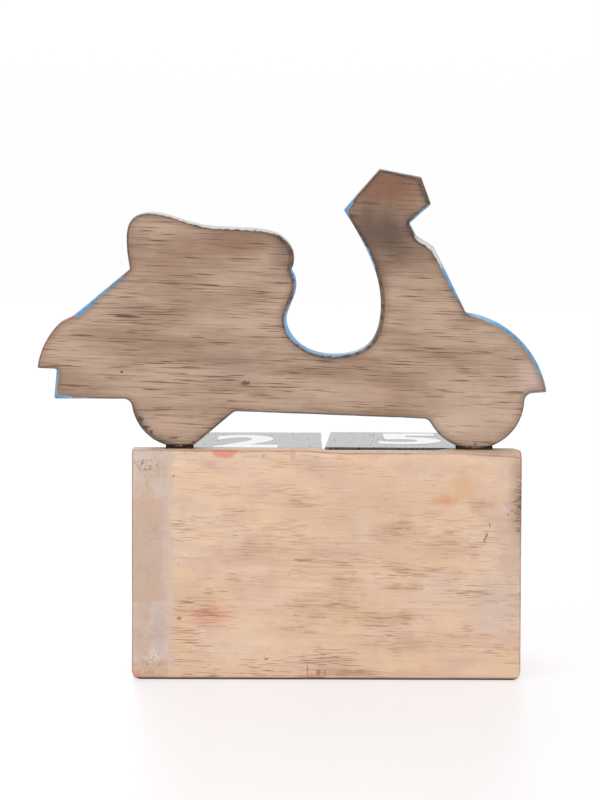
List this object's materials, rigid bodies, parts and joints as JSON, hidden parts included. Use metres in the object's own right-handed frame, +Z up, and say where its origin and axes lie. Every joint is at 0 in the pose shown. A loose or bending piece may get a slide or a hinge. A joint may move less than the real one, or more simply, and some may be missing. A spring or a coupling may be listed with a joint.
{
  "type": "wooden block calendar",
  "caption": "Desk calendar of wooden blocks: number cubes and month bars in an open tray, with a flat scooter cut-out standing on its back board.",
  "frame": {"origin": "middle of the tray's footprint, on the table", "axes": "+Z up, -Y towards the reader, +Y towards the bare wooden back, +X to the reader's right"},
  "size_m": [0.1528, 0.059, 0.1535],
  "materials": {
    "tray_wood": "matte",
    "scooter_wood": "matte",
    "dowel_wood": "matte",
    "dark_glue": "satin",
    "brad_steel": "satin",
    "wood_filler": "matte",
    "cube_wood": "satin",
    "bar_wood": "satin"
  },
  "bodies": {
    "holder": {"back_board": "tray_wood", "right_cheek": "tray_wood", "left_cheek": "tray_wood", "floor_board": "tray_wood", "scooter_board": "scooter_wood", "rear_wheel_dowel": "dowel_wood", "front_wheel_dowel": "dowel_wood", "rear_wheel_glue": "dark_glue", "front_wheel_glue": "dark_glue", "corner_brads": "brad_steel", "floor_brads": "brad_steel", "filler_plugs": "wood_filler"},
    "tens_block": {"tens_cube": "cube_wood"},
    "units_block": {"units_cube": "cube_wood"},
    "rear_bar": {"rear_month_bar": "bar_wood"},
    "middle_bar": {"middle_month_bar": "bar_wood"},
    "front_bar": {"front_month_bar": "bar_wood"}
  },
  "joints": [
    {"name": "tens_cube_lift", "type": "slide", "parent": "holder", "child": "tens_block", "axis": [0, 0, 1], "range_m": [0, 0.05]},
    {"name": "units_cube_lift", "type": "slide", "parent": "holder", "child": "units_block", "axis": [0, 0, 1], "range_m": [0, 0.05]},
    {"name": "rear_bar_slide", "type": "slide", "parent": "holder", "child": "rear_bar", "axis": [0, -1, 0], "range_m": [0, 0.049]},
    {"name": "middle_bar_slide", "type": "slide", "parent": "rear_bar", "child": "middle_bar", "axis": [0, -1, 0], "range_m": [0, 0.034]},
    {"name": "front_bar_slide", "type": "slide", "parent": "middle_bar", "child": "front_bar", "axis": [0, -1, 0], "range_m": [0, 0.018]}
  ]
}
